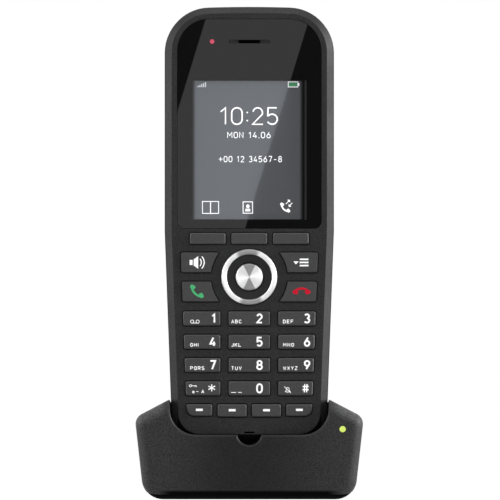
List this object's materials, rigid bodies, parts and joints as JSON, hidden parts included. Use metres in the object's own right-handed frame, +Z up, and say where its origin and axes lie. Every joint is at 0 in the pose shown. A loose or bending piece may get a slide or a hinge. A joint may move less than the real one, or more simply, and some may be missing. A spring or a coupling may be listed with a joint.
{
  "type": "cordless phone with charging cradle",
  "caption": "Cordless handset with a display, keypad and navigation ring, standing in a charging cradle with sprung contacts.",
  "frame": {"origin": "middle of the cradle's footprint, on the surface that it stands on", "axes": "+Z up, +X to the right of someone facing the keypad, the keypad faces -Y and leans back"},
  "size_m": [0.0648, 0.06, 0.1364],
  "materials": {
    "handset_plastic": "moulded ABS, fine matt spark texture",
    "rear_plastic": "moulded ABS, fine matt spark texture",
    "cradle_plastic": "moulded ABS, matt spark texture",
    "plate_plastic": "moulded ABS, matt",
    "key_plastic": "matt silicone-backed key cap with printed white legend",
    "window_plastic": "polished black acrylic, clear over the display",
    "lcd": "display glass behind the window",
    "white_plastic": "white moulded frame",
    "black_mesh": "fine black mesh",
    "receiver_metal": "plain",
    "status_lens": "red tinted light pipe",
    "charge_lens": "green-yellow light pipe, lit",
    "silicone": "translucent grey silicone",
    "board": "green solder mask",
    "tin": "tinned sheet",
    "steel": "plain steel",
    "gold": "gold flash",
    "cell_wrap": "shrink sleeve",
    "ring_metal": "satin turned metal",
    "ok_metal": "spun finish with a radial sheen",
    "nav_plastic": "matt",
    "speaker": "paper cone in a steel frame",
    "foot_rubber": "matt"
  },
  "bodies": {
    "cradle": {"cradle_shell": "cradle_plastic", "cradle_bottom_plate": "plate_plastic", "cradle_feet": "foot_rubber", "cradle_screws": "steel", "cradle_pcb": "board", "charge_led_lens": "charge_lens", "pin_block": "black_mesh", "charge_spring_left": "steel", "charge_spring_right": "steel", "power_socket": "tin"},
    "handset": {"handset_front_shell": "handset_plastic", "handset_rear_shell": "rear_plastic", "display_window": "window_plastic", "lcd_panel": "lcd", "lcd_frame": "white_plastic", "earpiece_grille": "black_mesh", "earpiece_receiver": "receiver_metal", "status_led_lens": "status_lens", "keypad_mat": "silicone", "main_pcb": "board", "rf_shield": "tin", "microphone": "black_mesh", "loudspeaker": "speaker", "battery_cell_1": "cell_wrap", "battery_cell_2": "cell_wrap", "battery_contacts": "steel", "handset_charge_contacts": "gold", "handset_screws": "steel"},
    "door": {"battery_door": "rear_plastic"},
    "softkey_left": {"softkey_left": "key_plastic"},
    "softkey_middle": {"softkey_middle": "key_plastic"},
    "softkey_right": {"softkey_right": "key_plastic"},
    "key_speaker": {"key_speaker": "key_plastic"},
    "key_menu": {"key_menu": "key_plastic"},
    "key_call": {"key_call": "key_plastic"},
    "key_end": {"key_end": "key_plastic"},
    "key_1": {"key_1": "key_plastic"},
    "key_2": {"key_2": "key_plastic"},
    "key_3": {"key_3": "key_plastic"},
    "key_4": {"key_4": "key_plastic"},
    "key_5": {"key_5": "key_plastic"},
    "key_6": {"key_6": "key_plastic"},
    "key_7": {"key_7": "key_plastic"},
    "key_8": {"key_8": "key_plastic"},
    "key_9": {"key_9": "key_plastic"},
    "key_star": {"key_star": "key_plastic"},
    "key_0": {"key_0": "key_plastic"},
    "key_hash": {"key_hash": "key_plastic"},
    "fkey_1": {"fkey_1": "key_plastic"},
    "fkey_2": {"fkey_2": "key_plastic"},
    "fkey_3": {"fkey_3": "key_plastic"},
    "fkey_4": {"fkey_4": "key_plastic"},
    "nav_carrier": {"nav_carrier": "silicone"},
    "nav_rocker": {"nav_rocker": "nav_plastic", "nav_ring": "ring_metal"},
    "nav_ok": {"nav_ok": "ok_metal"},
    "charge_pin_left": {"charge_pin_left": "gold"},
    "charge_pin_right": {"charge_pin_right": "gold"}
  },
  "joints": [
    {"name": "handset_lift", "type": "slide", "parent": "cradle", "child": "handset", "axis": [0, 0.2588, 0.9659], "range_m": [0, 0.04]},
    {"name": "door_hinge", "type": "hinge", "parent": "handset", "child": "door", "pos_m": [0, 0.00341, 0.04216], "axis": [-1, 0, 0], "range_deg": [0, 80]},
    {"name": "softkey_left_press", "type": "slide", "parent": "handset", "child": "softkey_left", "axis": [0, 0.9659, -0.2588], "range_m": [0, 0.0005], "stiffness_N_per_m": 500},
    {"name": "softkey_middle_press", "type": "slide", "parent": "handset", "child": "softkey_middle", "axis": [0, 0.9659, -0.2588], "range_m": [0, 0.0005], "stiffness_N_per_m": 500},
    {"name": "softkey_right_press", "type": "slide", "parent": "handset", "child": "softkey_right", "axis": [0, 0.9659, -0.2588], "range_m": [0, 0.0005], "stiffness_N_per_m": 500},
    {"name": "key_speaker_press", "type": "slide", "parent": "handset", "child": "key_speaker", "axis": [0, 0.9659, -0.2588], "range_m": [0, 0.0005], "stiffness_N_per_m": 500},
    {"name": "key_menu_press", "type": "slide", "parent": "handset", "child": "key_menu", "axis": [0, 0.9659, -0.2588], "range_m": [0, 0.0005], "stiffness_N_per_m": 500},
    {"name": "key_call_press", "type": "slide", "parent": "handset", "child": "key_call", "axis": [0, 0.9659, -0.2588], "range_m": [0, 0.0005], "stiffness_N_per_m": 500},
    {"name": "key_end_press", "type": "slide", "parent": "handset", "child": "key_end", "axis": [0, 0.9659, -0.2588], "range_m": [0, 0.0005], "stiffness_N_per_m": 500},
    {"name": "key_1_press", "type": "slide", "parent": "handset", "child": "key_1", "axis": [0, 0.9659, -0.2588], "range_m": [0, 0.0005], "stiffness_N_per_m": 500},
    {"name": "key_2_press", "type": "slide", "parent": "handset", "child": "key_2", "axis": [0, 0.9659, -0.2588], "range_m": [0, 0.0005], "stiffness_N_per_m": 500},
    {"name": "key_3_press", "type": "slide", "parent": "handset", "child": "key_3", "axis": [0, 0.9659, -0.2588], "range_m": [0, 0.0005], "stiffness_N_per_m": 500},
    {"name": "key_4_press", "type": "slide", "parent": "handset", "child": "key_4", "axis": [0, 0.9659, -0.2588], "range_m": [0, 0.0005], "stiffness_N_per_m": 500},
    {"name": "key_5_press", "type": "slide", "parent": "handset", "child": "key_5", "axis": [0, 0.9659, -0.2588], "range_m": [0, 0.0005], "stiffness_N_per_m": 500},
    {"name": "key_6_press", "type": "slide", "parent": "handset", "child": "key_6", "axis": [0, 0.9659, -0.2588], "range_m": [0, 0.0005], "stiffness_N_per_m": 500},
    {"name": "key_7_press", "type": "slide", "parent": "handset", "child": "key_7", "axis": [0, 0.9659, -0.2588], "range_m": [0, 0.0005], "stiffness_N_per_m": 500},
    {"name": "key_8_press", "type": "slide", "parent": "handset", "child": "key_8", "axis": [0, 0.9659, -0.2588], "range_m": [0, 0.0005], "stiffness_N_per_m": 500},
    {"name": "key_9_press", "type": "slide", "parent": "handset", "child": "key_9", "axis": [0, 0.9659, -0.2588], "range_m": [0, 0.0005], "stiffness_N_per_m": 500},
    {"name": "key_star_press", "type": "slide", "parent": "handset", "child": "key_star", "axis": [0, 0.9659, -0.2588], "range_m": [0, 0.0005], "stiffness_N_per_m": 500},
    {"name": "key_0_press", "type": "slide", "parent": "handset", "child": "key_0", "axis": [0, 0.9659, -0.2588], "range_m": [0, 0.0005], "stiffness_N_per_m": 500},
    {"name": "key_hash_press", "type": "slide", "parent": "handset", "child": "key_hash", "axis": [0, 0.9659, -0.2588], "range_m": [0, 0.0005], "stiffness_N_per_m": 500},
    {"name": "fkey_1_press", "type": "slide", "parent": "handset", "child": "fkey_1", "axis": [0, 0.9659, -0.2588], "range_m": [0, 0.0005], "stiffness_N_per_m": 500},
    {"name": "fkey_2_press", "type": "slide", "parent": "handset", "child": "fkey_2", "axis": [0, 0.9659, -0.2588], "range_m": [0, 0.0005], "stiffness_N_per_m": 500},
    {"name": "fkey_3_press", "type": "slide", "parent": "handset", "child": "fkey_3", "axis": [0, 0.9659, -0.2588], "range_m": [0, 0.0005], "stiffness_N_per_m": 500},
    {"name": "fkey_4_press", "type": "slide", "parent": "handset", "child": "fkey_4", "axis": [0, 0.9659, -0.2588], "range_m": [0, 0.0005], "stiffness_N_per_m": 500},
    {"name": "nav_up_down", "type": "hinge", "parent": "handset", "child": "nav_carrier", "pos_m": [0, -0.011, 0.06218], "axis": [1, 0, 0], "range_deg": [-3, 3], "stiffness_Nm_per_rad": 0.1},
    {"name": "nav_left_right", "type": "hinge", "parent": "nav_carrier", "child": "nav_rocker", "pos_m": [0, -0.011, 0.06218], "axis": [0, 0.2588, 0.9659], "range_deg": [-3, 3], "stiffness_Nm_per_rad": 0.1},
    {"name": "nav_ok_press", "type": "slide", "parent": "handset", "child": "nav_ok", "axis": [0, 0.9659, -0.2588], "range_m": [0, 0.0005], "stiffness_N_per_m": 500},
    {"name": "charge_pin_left_press", "type": "slide", "parent": "cradle", "child": "charge_pin_left", "axis": [0, -0.2588, -0.9659], "range_m": [0, 0.0012], "stiffness_N_per_m": 400, "deforming": ["charge_spring_left"]},
    {"name": "charge_pin_right_press", "type": "slide", "parent": "cradle", "child": "charge_pin_right", "axis": [0, -0.2588, -0.9659], "range_m": [0, 0.0012], "stiffness_N_per_m": 400, "deforming": ["charge_spring_right"]}
  ]
}
